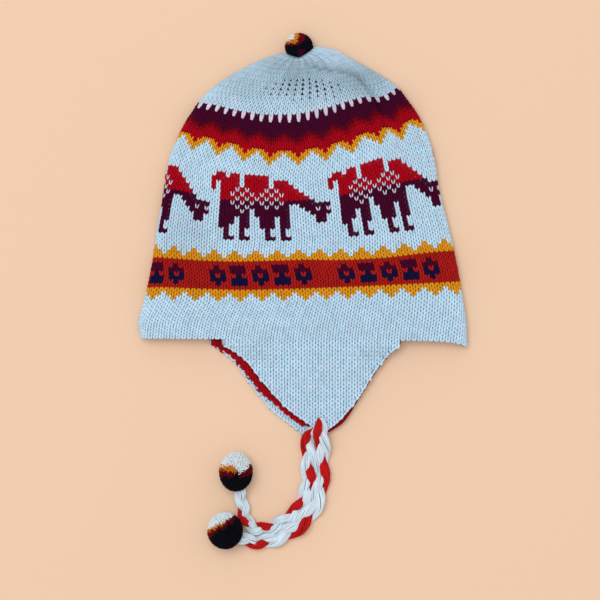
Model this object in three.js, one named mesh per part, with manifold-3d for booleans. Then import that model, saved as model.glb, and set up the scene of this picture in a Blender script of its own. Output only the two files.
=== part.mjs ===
// A knitted Andean ear-flap hat, laid flat: a patterned outer knit, a plain inner knit,
// a pompom on the crown, and a braid with a pompom hanging from each ear flap.
// Millimetres, +Z up. The hat lies on z = 0, its crown points along +Y, and the origin is
// the middle of the brim on the surface that the hat lies on.
import * as THREE from 'three';
import { mergeVertices } from 'three/addons/utils/BufferGeometryUtils.js';
import Module from 'manifold-3d';

const wasm = await Module();
wasm.setup();

// Driving dimensions
const outerWall = 2.0; // thickness of the outer knit
const liningGap = 0.35; // between the two knits
const liningWall = 1.6; // thickness of the inner knit
const foldRise = 6.6; // height of the side folds' outermost line
const foldReach = 7.2; // how far in from its fold a face starts to curve round to it
const crownBulge = 2.4; // exponent of the upper face's arch
const steepest = 1; // radians that the arch may rise by at a fold
const flapTop = 8.6; // height of the upper ear flap's face where it lies on the lower one
const flapLength = 68.8; // from the brim to the tip of an ear flap
const flapDroop = 2.4; // exponent of the flap's arch
const backFlapShift = { root: -9, tip: -13, drop: -2.4 }; // the lower flap lies askew
const liningPeek = 0.9; // the lining shows this much past the upper flap's edge
const backHem = { root: 0.8, tip: 6.4 }; // outer knit that is turned in round the lower flap
const crownTip = { x: -4.4, y: 231.6, z: 9.5 }; // where the crown is drawn together
const liningTip = { x: -4.4, y: 222, z: 9.5 };
const liningRows = 16; // of the rows below, so that the lining stops short of the crown's tip
const brimDroop = 4.6; // of the brim's lower right corner
const pleats = 12; // gathers round the crown
const pleatHeight = 1.5;

// Cross-sections of the hat, from the brim to the crown. row counts the knitted rows, left
// and right are the side folds, midY is the row's lowest point between them on the drawing
// plane, and loft is the height of the upper face there.
const sections = [
  { row: 0, leftX: -131.6, leftY: 5.6, midY: 4.4, rightX: 130.0, rightY: 3.6, loft: 17 },
  { row: 6, leftX: -133.2, leftY: 19.2, midY: 19.6, rightX: 128.8, rightY: 20.8, loft: 21 },
  { row: 12, leftX: -129.2, leftY: 34.4, midY: 36.4, rightX: 125.8, rightY: 41.2, loft: 25 },
  { row: 22, leftX: -122.4, leftY: 65.6, midY: 66.4, rightX: 119.6, rightY: 74.4, loft: 29 },
  { row: 28, leftX: -119.2, leftY: 89.6, midY: 84.6, rightX: 114.6, rightY: 96, loft: 30 },
  { row: 36, leftX: -114.6, leftY: 114.4, midY: 110, rightX: 107.6, rightY: 124, loft: 30.5 },
  { row: 44, leftX: -109.4, leftY: 147.2, midY: 135.2, rightX: 103.4, rightY: 150.4, loft: 30.5 },
  { row: 51, leftX: -98.6, leftY: 173.6, midY: 156.8, rightX: 94.0, rightY: 178.4, loft: 29.5 },
  { row: 58, leftX: -85.4, leftY: 194.4, midY: 178, rightX: 77.2, rightY: 203.2, loft: 28 },
  { row: 61, leftX: -80.4, leftY: 200.4, midY: 188.4, rightX: 72.4, rightY: 208.0, loft: 27 },
  { row: 65, leftX: -64.0, leftY: 213.6, midY: 204, rightX: 59.6, rightY: 216.8, loft: 24.5 },
  { row: 69, leftX: -41.2, leftY: 226.0, midY: 218.4, rightX: 38.0, rightY: 229.2, loft: 21.5 },
  { row: 71, leftX: -27.6, leftY: 231.6, midY: 225.4, rightX: 22.0, rightY: 237.6, loft: 19.5 },
  { row: 72, leftX: -16.4, leftY: 234.4, midY: 229, rightX: 7.2, rightY: 239.6, loft: 17.5 },
];
const modelRows = [0, 3, 7, 12, 18, 24, 30, 36, 42, 47, 51, 55, 58, 61, 64, 67, 69, 71, 72];

// Outline of the upper ear flap, by its distance below the brim.
const flapOutline = [
  { down: 0, left: -66.8, right: 76.4 },
  { down: 5.6, left: -55.6, right: 69.6 },
  { down: 12, left: -48, right: 63.6 },
  { down: 20, left: -41.4, right: 57.2 },
  { down: 36, left: -28.4, right: 47.2 },
  { down: 52, left: -12.8, right: 35.6 },
  { down: 63.2, left: 3.2, right: 24.8 },
  { down: flapLength, left: 10, right: 17.2 },
];
const flapRows = [5.6, 14, 25, 37, 49, 59, 65.5, flapLength];

// The crown's folds: one runs from the gathers round the right shoulder, under a lobe of
// cloth that stands up beside it, and a lesser one goes straight down from the gathers.
const crownFolds = [
  {
    depth: 4.4,
    width: 7.5,
    lobe: 2.6,
    line: [[-4.8, 226.4], [9.6, 221.2], [36, 217.2], [48, 208], [56.8, 195.2], [62.4, 180], [66.4, 162.4]],
  },
  { depth: 2.6, width: 6, lobe: 0, line: [[-5.2, 230], [-6.4, 220], [-8, 210], [-8.8, 198]] },
];
const lobeAway = 9.5; // from its fold's line to the middle of a lobe
const lobeWidth = 8.5;

// Columns round the hat: side to flap, flap, flap to side, over the top and back underneath.
const sideSteps = 7;
const flapSteps = 10;
const cornerSteps = 3; // of the side's steps, round the fold
const faceSteps = sideSteps + flapSteps + sideSteps;
const columns = 2 * faceSteps;

const braidWidth = 11.4;
const braidThickness = 8.2;
const braidSides = 10;
const braidSteps = 24;
const seat = 0.35; // clearance where soft pieces touch

// Points along the middle of each braid. The front one starts on the upper flap's tip,
// the back one at the edge of the lower flap's tip, and both end at their pompoms.
const frontBraidRoute = [
  [11.6, -57.6, 13.4],
  [13.2, -66, 13.2],
  [14.4, -74, 11.9],
  [14.7, -82, 8.2],
  [14.7, -92, 5],
  [14.5, -102, 4.2],
  [13.8, -111, 4.2],
  [12.4, -119, 4.2],
  [10, -126.4, 4.2],
  [6.6, -133.4, 4.2],
  [1.8, -140, 4.2],
  [-4.2, -145.8, 4.2],
  [-11.4, -150.6, 4.2],
  [-19.6, -154.6, 4.2],
  [-28.6, -157.6, 4.2],
  [-38, -158.4, 4.6],
  [-46.4, -156.6, 6.4],
  [-54, -153, 9],
];
const backBraidRoute = [
  [3.2, -72.1, 4.2],
  [2.4, -80, 4.2],
  [2.2, -90, 4.2],
  [2.1, -100, 4.2],
  [1.6, -108, 4.2],
  [0.3, -116, 4.2],
  [-2.6, -123.6, 4.2],
  [-7, -130.6, 4.2],
  [-12.8, -136.2, 4.2],
  [-20, -140.8, 4.2],
  [-27.6, -144.4, 4.2],
  [-35.6, -146, 4.2],
  [-43, -143.6, 4.2],
  [-47.6, -137.6, 4.4],
  [-49.6, -129.6, 5.2],
  [-51.4, -121.6, 7.4],
  [-53, -114, 9.6],
];
// stretch is a pompom's shape, against a ball of its radius
const frontPompom = { x: -63.8, y: -148, radius: 14.6, stretch: [0.98, 1.02, 1] };
const backPompom = { x: -55.2, y: -101.4, radius: 13.9, stretch: [0.97, 1.12, 0.97] };
const crownPompom = { x: -4.8, y: 238.6, radius: 11.3, stretch: [1, 0.98, 0.76] };
const pompomHead = 0.9; // of the radius, as are the locks' sizes
const lockReach = 0.96;
const lockTip = 0.28;
const lockRoot = 0.12;
const lockCount = 18;
const goldenAngle = Math.PI * (3 - Math.sqrt(5));
const blankRow = 12; // of the rows above, where the crown's top starts

const clamp = (value, low, high) => Math.min(high, Math.max(low, value));
const smooth = (value, from, to) => {
  const t = clamp((value - from) / (to - from), 0, 1);
  return t * t * (3 - 2 * t);
};

// A table's value between its rows, on a curve that passes through every row.
function lookUp(table, key, at, name) {
  let i = 0;
  while (i < table.length - 2 && table[i + 1][key] < at) i += 1;
  const row = (n) => table[clamp(n, 0, table.length - 1)];
  const slope = (n) =>
    (row(n + 1)[name] - row(n - 1)[name]) / (row(n + 1)[key] - row(n - 1)[key]);
  const span = row(i + 1)[key] - row(i)[key];
  const t = (at - row(i)[key]) / span;
  const [a, b] = [row(i)[name], row(i + 1)[name]];
  const [p, q] = [slope(i) * span, slope(i + 1) * span];
  return (
    (2 * t ** 3 - 3 * t ** 2 + 1) * a +
    (t ** 3 - 2 * t ** 2 + t) * p +
    (3 * t ** 2 - 2 * t ** 3) * b +
    (t ** 3 - t ** 2) * q
  );
}

function sectionAt(row) {
  const value = (name) => lookUp(sections, 'row', row, name);
  const [leftX, rightX] = [value('leftX'), value('rightX')];
  return {
    middle: (leftX + rightX) / 2,
    half: (rightX - leftX) / 2,
    leftY: value('leftY'),
    midY: value('midY'),
    rightY: value('rightY'),
    loft: value('loft'),
    droop: brimDroop * (1 - smooth(row, 0, 5)),
  };
}

// The row's line on the drawing plane, at xi from -1 at the left fold to 1 at the right one.
function rowY(section, xi) {
  const tilt = (section.rightY - section.leftY) / 2;
  const bow = (section.rightY + section.leftY) / 2 - section.midY;
  const corner = section.droop * Math.max(xi, 0) ** 12;
  return section.midY + tilt * xi + bow * Math.abs(xi) ** 1.8 - corner;
}

// How far the upper face is pressed in by one of the crown's folds.
function pressedBy({ depth, width, lobe, line }, x, y) {
  let nearest = Infinity;
  let along = 0;
  let signed = 0;
  for (let i = 0; i + 1 < line.length; i += 1) {
    const a = new THREE.Vector2(...line[i]);
    const step = new THREE.Vector2(...line[i + 1]).sub(a);
    const to = new THREE.Vector2(x, y).sub(a);
    const t = clamp(to.dot(step) / step.lengthSq(), 0, 1);
    const gap = to.distanceTo(step.clone().multiplyScalar(t));
    if (gap < nearest) {
      nearest = gap;
      along = (i + t) / (line.length - 1);
      signed = gap * Math.sign(step.cross(to));
    }
  }
  const fade = smooth(along, 0, 0.15) * (1 - smooth(along, 0.75, 1));
  const raised = lobe * Math.exp(-(((signed - lobeAway) / lobeWidth) ** 2));
  return fade * (depth * Math.exp(-((nearest / width) ** 2)) - raised);
}

const crease = (x, y) => crownFolds.reduce((sum, fold) => sum + pressedBy(fold, x, y), 0);

// The arch of a face at a section: where it leaves the fold's curve, and how steeply.
function archAt(section, upper) {
  const reach = Math.min(foldReach, 0.6 * section.half);
  const rise = section.loft - 2 * foldRise;
  const slope = upper ? Math.atan((crownBulge * rise) / (section.half - reach)) : 0;
  const lean = clamp(slope, 0, steepest);
  const width = section.half - reach + reach * Math.sin(lean);
  return { reach, lean, width };
}

// Places of the columns on one face, from its left fold to its right one: a share of the
// arch's width, and how far round to the fold. The flap's two roots fall on a column.
function columnPlaces(upper) {
  const brim = sectionAt(0);
  const { width } = archAt(brim, upper);
  const shift = upper ? 0 : backFlapShift.root;
  const [left, right] = [flapOutline[0].left, flapOutline[0].right].map(
    (x) => (x + shift - brim.middle) / width,
  );
  const flatSteps = sideSteps - cornerSteps;
  const places = [];
  const add = (count, share, round) => {
    for (let i = 0; i < count; i += 1) places.push({ share: share(i / count), round: round(i / count) });
  };
  add(cornerSteps, () => -1, (t) => 1 - t);
  add(flatSteps, (t) => -1 + (left + 1) * t, () => 0);
  add(flapSteps, (t) => left + (right - left) * t, () => 0);
  add(flatSteps, (t) => right + (1 - right) * t, () => 0);
  add(cornerSteps, () => 1, (t) => t);
  places.push({ share: 1, round: 1 });
  return places;
}

const upperPlaces = columnPlaces(true);
const lowerPlaces = columnPlaces(false);

// A point of the hat's outer surface without its gathers.
function bodyPoint(row, column) {
  const section = sectionAt(row);
  const upper = column < faceSteps;
  const { share, round } = upper ? upperPlaces[column] : lowerPlaces[columns - column];
  const { reach, lean, width } = archAt(section, upper);
  const turn = lean + (Math.PI / 2 - lean) * round;
  const curl = reach * (Math.sin(turn) - Math.sin(lean));
  const offset = share * width + Math.sign(share) * curl;
  const x = section.middle + offset;
  const y = rowY(section, offset / section.half);
  if (!upper) return new THREE.Vector3(x, y, foldRise * (1 - Math.cos(turn)));
  const spring = foldRise * (1 + Math.cos(lean));
  const arch = (section.loft - spring) * (1 - Math.abs(share) ** crownBulge);
  const drop = foldRise * (Math.cos(lean) - Math.cos(turn));
  const dent = crease(x, y) * (1 - round) * (1 - share ** 6);
  return new THREE.Vector3(x, y, spring + arch - drop - dent);
}

// A point of an ear flap. The trim shortens and narrows it, for the lining's own outline.
function flapPoint(down, step, upper, trim) {
  const part = down / flapLength;
  const edge = down * trim.reach;
  const inset = trim.inset(part);
  const left = lookUp(flapOutline, 'down', edge, 'left') + inset;
  const right = lookUp(flapOutline, 'down', edge, 'right') - inset;
  const across = step / flapSteps;
  if (!upper) {
    const shift = backFlapShift.root + (backFlapShift.tip - backFlapShift.root) * part;
    const x = right + (left - right) * across + shift;
    return new THREE.Vector3(x, -edge + backFlapShift.drop * part, 0);
  }
  const root = bodyPoint(0, sideSteps + step).z;
  const arch = (1 - smooth(part, 0, 0.85)) * (1 - Math.abs(2 * across - 1) ** flapDroop);
  const lying = flapTop + (root - flapTop) * arch;
  const settled = smooth(part, 0, 0.25);
  const z = root + (lying - root) * settled;
  return new THREE.Vector3(left + (right - left) * across, -edge, z);
}

// The hat as one sheet of points and triangles: rows of columns that close at the tip of
// the crown, and a flap below the brim on each face.
function hatSheet({ rowCount, tip, upperTrim, lowerTrim }) {
  const points = [];
  const faces = [];
  const grid = modelRows
    .slice(0, rowCount)
    .map((row) =>
      Array.from({ length: columns }, (_, column) => points.push(bodyPoint(row, column)) - 1),
    );
  const addBand = (below, above, closed) => {
    const count = closed ? below.length : below.length - 1;
    for (let i = 0; i < count; i += 1) {
      const j = (i + 1) % below.length;
      faces.push([below[i], below[j], above[j]], [below[i], above[j], above[i]]);
    }
  };
  for (let r = 0; r + 1 < rowCount; r += 1) addBand(grid[r], grid[r + 1], true);
  const end = points.push(new THREE.Vector3(tip.x, tip.y, tip.z)) - 1;
  grid[rowCount - 1].forEach((point, i, last) =>
    faces.push([point, last[(i + 1) % columns], end]),
  );
  for (const upper of [true, false]) {
    const first = upper ? sideSteps : faceSteps + sideSteps;
    let above = Array.from({ length: flapSteps + 1 }, (_, i) => grid[0][first + i]);
    for (const down of flapRows) {
      const trim = upper ? upperTrim : lowerTrim;
      const below = above.map((_, i) => points.push(flapPoint(down, i, upper, trim)) - 1);
      addBand(below, above, false);
      above = below;
    }
  }
  return { points, faces, rowCount };
}

function sheetNormals({ points, faces }) {
  const normals = points.map(() => new THREE.Vector3());
  for (const [a, b, c] of faces) {
    const side = points[b].clone().sub(points[a]);
    const area = side.cross(points[c].clone().sub(points[a]));
    for (const corner of [a, b, c]) normals[corner].add(area);
  }
  return normals.map((normal) => normal.normalize());
}

// Gathers stand out from the surface round the apex and die away down the crown.
function gather(sheet, index) {
  const row = Math.floor(index / columns);
  if (row >= sheet.rowCount) return 0;
  const strength = smooth(modelRows[row], 58, 69);
  const wave = 0.5 + 0.5 * Math.cos((2 * Math.PI * pleats * (index % columns)) / columns);
  const upper = index % columns < faceSteps && index % columns > 0 ? 1 : 0;
  return pleatHeight * strength * wave * upper;
}

// A closed wall between two depths below the sheet, along its normals.
function wallFromSheet(sheet, normals, outerDepth, innerDepth, gathered) {
  const depthPoint = (i, depth) => sheet.points[i].clone().addScaledVector(normals[i], -depth);
  const outer = sheet.points.map((_, i) =>
    depthPoint(i, outerDepth - (gathered ? gather(sheet, i) : 0)),
  );
  const inner = sheet.points.map((_, i) => depthPoint(i, innerDepth));
  const count = sheet.points.length;
  const edges = new Set(
    sheet.faces.flatMap(([a, b, c]) => [`${a},${b}`, `${b},${c}`, `${c},${a}`]),
  );
  const triangles = [];
  for (const [a, b, c] of sheet.faces) {
    triangles.push([a, b, c], [count + a, count + c, count + b]);
    for (const [from, to] of [[a, b], [b, c], [c, a]]) {
      if (!edges.has(`${to},${from}`)) {
        triangles.push([to, from, count + from], [to, count + from, count + to]);
      }
    }
  }
  const geometry = new THREE.BufferGeometry();
  const all = [...outer, ...inner].flatMap((p) => [p.x, p.y, Math.abs(p.z) < 1e-6 ? 0 : p.z]);
  geometry.setAttribute('position', new THREE.Float32BufferAttribute(all, 3));
  geometry.setIndex(triangles.flat());
  geometry.computeVertexNormals();
  return geometry;
}

function barePositions(geometry) {
  const bare = geometry.clone();
  bare.deleteAttribute('normal');
  bare.deleteAttribute('uv');
  return bare;
}

function toSolid(geometry) {
  const merged = mergeVertices(barePositions(geometry), 1e-5);
  return new wasm.Manifold(
    new wasm.Mesh({
      numProp: 3,
      vertProperties: new Float32Array(merged.attributes.position.array),
      triVerts: new Uint32Array(merged.index.array),
    }),
  );
}

function toGeometry(solid) {
  const mesh = solid.getMesh();
  const geometry = new THREE.BufferGeometry();
  geometry.setAttribute('position', new THREE.BufferAttribute(mesh.vertProperties, 3));
  geometry.setIndex(new THREE.BufferAttribute(mesh.triVerts, 1));
  geometry.computeVertexNormals();
  return geometry;
}

// A pompom: a round head with locks of yarn fused on all round it.
function pompomSolid({ x, y, radius, stretch }) {
  let solid = toSolid(new THREE.IcosahedronGeometry(radius * pompomHead, 1));
  const up = new THREE.Vector3(0, 1, 0);
  for (let i = 0; i < lockCount; i += 1) {
    const polar = Math.acos(1 - (2 * (i + 0.5)) / lockCount);
    const direction = new THREE.Vector3().setFromSphericalCoords(1, polar, i * goldenAngle);
    const [tip, root] = [radius * lockTip, radius * lockRoot];
    const lock = new THREE.CylinderGeometry(tip, root, radius * lockReach, 4);
    lock.translate(0, (radius * lockReach) / 2, 0);
    lock.applyQuaternion(new THREE.Quaternion().setFromUnitVectors(up, direction));
    solid = solid.add(toSolid(lock));
  }
  return solid.scale(stretch).translate([x, y, radius * stretch[2]]);
}

// The crown's top as a plain solid, a clearance larger, to shape what sits against it.
function crownBlank(sheet, normals) {
  const start = blankRow * columns;
  const tip = sheet.rowCount * columns;
  const inBlank = (i) => i >= start && i <= tip;
  const grow = (i) => seat + (i % columns < faceSteps ? pleatHeight : 0);
  const points = sheet.points
    .slice(start, tip + 1)
    .map((p, i) => p.clone().addScaledVector(normals[start + i], grow(i)));
  const faces = sheet.faces
    .filter((face) => face.every(inBlank))
    .map((face) => face.map((i) => i - start));
  const base = new THREE.Vector3(crownTip.x, sectionAt(modelRows[blankRow]).midY, crownTip.z);
  const middle = points.push(base) - 1;
  for (let i = 0; i < columns; i += 1) faces.push([(i + 1) % columns, i, middle]);
  const geometry = new THREE.BufferGeometry();
  const places = points.flatMap((p) => [p.x, p.y, p.z]);
  geometry.setAttribute('position', new THREE.Float32BufferAttribute(places, 3));
  geometry.setIndex(faces.flat());
  return toSolid(geometry);
}

// A braid's flattened tube, or with growth the room that it needs.
function braidGeometry(route, growth = 0) {
  const outline = new THREE.Shape();
  for (let i = 0; i < braidSides; i += 1) {
    const angle = (2 * Math.PI * (i + 0.5)) / braidSides;
    const x = (braidThickness / 2 + growth) * Math.cos(angle);
    const y = (braidWidth / 2 + growth) * Math.sin(angle);
    if (i === 0) outline.moveTo(x, y);
    else outline.lineTo(x, y);
  }
  outline.closePath();
  const path = new THREE.CatmullRomCurve3(route.map((p) => new THREE.Vector3(...p)));
  return new THREE.ExtrudeGeometry(outline, { steps: braidSteps, extrudePath: path });
}

// What is left in one piece where a cut has parted a solid.
const largest = (solid) => solid.decompose().reduce((a, b) => (a.volume() > b.volume() ? a : b));

// A pompom with a socket for the braid that ends in it, clear of the braid that it touches.
function braidPompom(size, route, touching) {
  const [before, end] = route.slice(-2).map((p) => new THREE.Vector3(...p));
  const room = toSolid(braidGeometry(route, seat));
  const past = room.translate(end.sub(before).setLength(seat).toArray());
  const beside = toSolid(braidGeometry(touching, seat));
  return toGeometry(largest(pompomSolid(size).subtract(room).subtract(past).subtract(beside)));
}

const yarn = (color) => new THREE.MeshStandardMaterial({ color, roughness: 0.9, metalness: 0 });
const whiteYarn = yarn(0xdde8ee);
const redYarn = yarn(0xa80f1a);
const pompomYarn = yarn(0x3a0d14);

const chullo = new THREE.Group();
function addPiece(name, geometry, material) {
  const mesh = new THREE.Mesh(geometry, material);
  mesh.name = name;
  chullo.add(mesh);
}

const untrimmed = { reach: 1, inset: () => 0 };
const outerSheet = hatSheet({
  rowCount: modelRows.length,
  tip: crownTip,
  upperTrim: untrimmed,
  lowerTrim: untrimmed,
});
const liningSheet = hatSheet({
  rowCount: liningRows,
  tip: liningTip,
  upperTrim: {
    reach: 1 + liningPeek / flapLength,
    inset: (part) => -liningPeek * smooth(part, 0, 0.2),
  },
  lowerTrim: {
    reach: 1 - backHem.tip / flapLength,
    inset: (part) => backHem.root + (backHem.tip - backHem.root) * part,
  },
});
const outerNormals = sheetNormals(outerSheet);
const sharedPoints = liningRows * columns;
const liningNormals = sheetNormals(liningSheet).map((normal, i) =>
  i < sharedPoints ? outerNormals[i] : normal,
);
const liningDepth = outerWall + liningGap;
addPiece('knit_shell', wallFromSheet(outerSheet, outerNormals, 0, outerWall, true), whiteYarn);
addPiece(
  'lining',
  wallFromSheet(liningSheet, liningNormals, liningDepth, liningDepth + liningWall, false),
  redYarn,
);
const crownBall = pompomSolid(crownPompom).subtract(crownBlank(outerSheet, outerNormals));
addPiece('crown_pompom', toGeometry(largest(crownBall)), pompomYarn);
addPiece('braid_front', braidGeometry(frontBraidRoute), whiteYarn);
addPiece('braid_back', braidGeometry(backBraidRoute), whiteYarn);
addPiece('pompom_front', braidPompom(frontPompom, frontBraidRoute, backBraidRoute), pompomYarn);
addPiece('pompom_back', braidPompom(backPompom, backBraidRoute, frontBraidRoute), pompomYarn);

export default chullo;
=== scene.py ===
# A double-knit Andean ear-flap hat lying flat, seen from straight above.
import math

import bmesh
import bpy
import numpy as np
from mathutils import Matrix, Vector


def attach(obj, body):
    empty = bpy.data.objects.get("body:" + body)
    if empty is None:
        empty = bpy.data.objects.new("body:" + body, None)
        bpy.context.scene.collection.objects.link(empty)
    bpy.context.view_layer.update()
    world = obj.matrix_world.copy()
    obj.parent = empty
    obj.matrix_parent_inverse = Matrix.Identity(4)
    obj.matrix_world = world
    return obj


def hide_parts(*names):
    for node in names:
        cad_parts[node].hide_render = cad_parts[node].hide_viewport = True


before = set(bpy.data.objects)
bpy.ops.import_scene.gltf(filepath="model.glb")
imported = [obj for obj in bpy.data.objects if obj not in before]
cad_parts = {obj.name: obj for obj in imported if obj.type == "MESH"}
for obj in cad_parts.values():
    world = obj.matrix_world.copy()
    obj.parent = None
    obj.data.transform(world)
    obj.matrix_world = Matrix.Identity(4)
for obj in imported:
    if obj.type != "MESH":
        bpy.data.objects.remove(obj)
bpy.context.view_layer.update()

scene = bpy.context.scene
mm = 0.001
wholeTurn = 2 * math.pi
print("frame loaded")

# Colours of the yarns as sRGB hex, and how the wool is spun
wool = {
    "white": "C8E5F8",
    "blush": "DCD3E6",       # white stitches among dark ones
    "gold": "E39A1C",
    "bandRed": "AE1C18",
    "brightRed": "B2041A",
    "deepRed": "8C0418",
    "darkRed": "600418",
    "purple": "48042A",
    "navy": "14103C",
    # painted shadow, seen down the crown's stretched holes
    "holeShadow": "2C3642",
    "liningRed": "B00E1C",
    "hemPink": "E6C8D2",
    "braidWhite": "DCEAF4",
    "braidRed": "C01A1C",
    "pompomWhite": "E8F0F6",
    "pompomOrange": "DA8420",
    "pompomRed": "6C0A12",
    "pompomBlack": "0C0C18",
    "plyPitch": 2.4,         # mm between the turns of a two-ply yarn
    "twist": 0.55,           # how far the turns stand out
    "fibre": 0.35,           # mm, the grain of its loose fibres
    "uneven": 9,             # mm, between thick and thin
    "clouds": 6,             # mm, of its tint
    "roughness": 0.88,
    "mottle": (0.24, -0.08, -0.06),      # how its tint varies from place to place
    "specular": 0.03,
    "sheen": 0.02,
}

studio = {
    "lens": 200,             # mm, so that the hat's height hardly changes its outline
    "sensor": 36,
    "frameWidth": 0.48,      # metres across the picture, at the level below
    "centre": (-0.004, 0.036),
    "level": 0.008,
    "floor": "ECC9AC",
    "keyPower": 98,
    "keySize": 2.75,
    "keyPlace": (-0.75, 0.8, 4.3),
    "keyAim": (0, 0.04, 0),
    "skyStrength": 0.62,
}


def toLinear(hexColour):
    parts = [int(hexColour[i:i + 2], 16) / 255 for i in (0, 2, 4)]
    return tuple(c / 12.92 if c <= 0.04045 else ((c + 0.055) / 1.055) ** 2.4 for c in parts)


dyed = {name: np.array(toLinear(value)) for name, value in wool.items() if isinstance(value, str)}


# Links come from a socket, or from a node's first output
def addNode(tree, kind, settings=(), links=()):
    node = tree.nodes.new("ShaderNode" + kind)
    for name, value in dict(settings).items():
        if isinstance(name, int) or name in node.inputs:
            node.inputs[name].default_value = value
        else:
            setattr(node, name, value)
    for name, source in dict(links).items():
        socket = source if isinstance(source, bpy.types.NodeSocket) else source.outputs[0]
        tree.links.new(socket, node.inputs[name])
    return node


# Wool spun in two plies: matt, with a soft sheen of loose fibres, and a faint twist
def spunWool(name, twist=0.0):
    material = bpy.data.materials.new(name)
    material.use_nodes = True
    tree = material.node_tree
    tree.nodes.clear()
    place = addNode(tree, "TexCoord").outputs["Object"]
    fibres, patches, clouds = (
        addNode(tree, "TexNoise", {"Scale": 1 / (wool[size] * mm), "Detail": detail}, {"Vector": place})
        for size, detail in (("fibre", 3.0), ("uneven", 2.0), ("clouds", 1.0)))
    shade, drift = (
        addNode(tree, "MapRange", {"From Min": 0.3, "From Max": 0.7, "To Min": low, "To Max": high},
                {"Value": noise})
        for noise, low, high in ((fibres, 0.84, 1.06), (patches, 0.95, 1.04)))
    tones = addNode(tree, "Math", {"operation": "MULTIPLY"}, {0: shade, 1: drift})
    tint = addNode(tree, "VectorMath", {
        "operation": "MULTIPLY_ADD",
        1: wool["mottle"],
        2: [1 - 0.5 * part for part in wool["mottle"]],
    }, {0: clouds})
    colour = addNode(tree, "Attribute", {"attribute_name": "yarnColour"})
    tinted = addNode(tree, "VectorMath", {"operation": "MULTIPLY"}, {0: colour, 1: tint})
    worn = addNode(tree, "VectorMath", {"operation": "SCALE"}, {0: tinted, "Scale": tones})
    run = addNode(tree, "UVMap", {"uv_map": "yarnRun"})
    parts = addNode(tree, "SeparateXYZ", (), {0: run}).outputs
    turn = addNode(tree, "Math", {"operation": "ADD"}, {0: parts["X"], 1: parts["Y"]})
    angle = addNode(tree, "Math", {"operation": "MULTIPLY", 1: wholeTurn}, {0: turn})
    plies = addNode(tree, "Math", {"operation": "SINE"}, {0: angle})
    twists = addNode(tree, "Bump", {"Strength": twist, "Distance": 0.25 * mm}, {"Height": plies})
    grain = addNode(tree, "Bump", {"Strength": 0.35, "Distance": 0.2 * mm},
                    {"Height": fibres, "Normal": twists})
    surface = addNode(tree, "BsdfPrincipled", {
        "Roughness": wool["roughness"],
        "Specular IOR Level": wool["specular"],
        "Sheen Weight": wool["sheen"],
        "Sheen Roughness": 0.5,
    }, {"Base Color": worn, "Normal": grain})
    addNode(tree, "OutputMaterial", (), {"Surface": surface})
    return material


stitchWool = spunWool("spun wool, knitted", wool["twist"])
baseWool = spunWool("spun wool, behind the stitches")
plaitWool = spunWool("spun wool, plaited")
tuftWool = spunWool("spun wool, cut in tufts")


def addObject(name, data):
    thing = bpy.data.objects.new(name, data)
    scene.collection.objects.link(thing)
    return thing


# Gives a mesh its yarn colours, and a layer for where along the yarn each corner lies
def paint(mesh, colours):
    layer = mesh.color_attributes.new(name="yarnColour", type="FLOAT_COLOR", domain="POINT")
    rgba = np.column_stack([colours, np.ones(len(colours))])
    layer.data.foreach_set("color", rgba.astype(np.float32).ravel())
    return mesh.uv_layers.new(name="yarnRun")


# One mesh from parts: each has points, faces of four and of three corners, colours and yarn runs
def joinedMesh(name, parts):
    start, columns = 0, [[], [], [], [], []]
    for points, quads, triangles, colours, runs in parts:
        for column, values in zip(columns, (points, quads + start, triangles + start, colours, runs)):
            column.append(values)
        start += len(points)
    points, quads, triangles, colours, runs = (np.concatenate(column) for column in columns)
    mesh = bpy.data.meshes.new(name)
    corners = np.concatenate([quads.ravel(), triangles.ravel()])
    starts = np.concatenate([np.arange(len(quads)) * 4, len(quads) * 4 + np.arange(len(triangles)) * 3])
    mesh.vertices.add(len(points))
    mesh.vertices.foreach_set("co", points.astype(np.float32).ravel())
    mesh.loops.add(len(corners))
    mesh.loops.foreach_set("vertex_index", corners.astype(np.int32))
    mesh.polygons.add(len(starts))
    mesh.polygons.foreach_set("loop_start", starts.astype(np.int32))
    mesh.polygons.foreach_set("use_smooth", np.ones(len(starts), dtype=bool))
    mesh.update(calc_edges=True)
    paint(mesh, colours).data.foreach_set("uv", runs[corners].astype(np.float32).ravel())
    mesh.validate()
    return mesh


# A piece from a mesh, or from a list of parts for one
def addPiece(name, mesh, node="knit_shell", material=stitchWool):
    if isinstance(mesh, list):
        mesh = joinedMesh(name, mesh)
    mesh.materials.append(material)
    piece = addObject(name, mesh)
    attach(piece, "root")
    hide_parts(node)
    return piece


def unit(vectors):
    return vectors / np.maximum(np.linalg.norm(vectors, axis=-1, keepdims=True), 1e-9)


# The distance along a line to each of its points
def travelled(points):
    return np.concatenate([[0], np.linalg.norm(np.diff(points, axis=0), axis=1).cumsum()])


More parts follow.
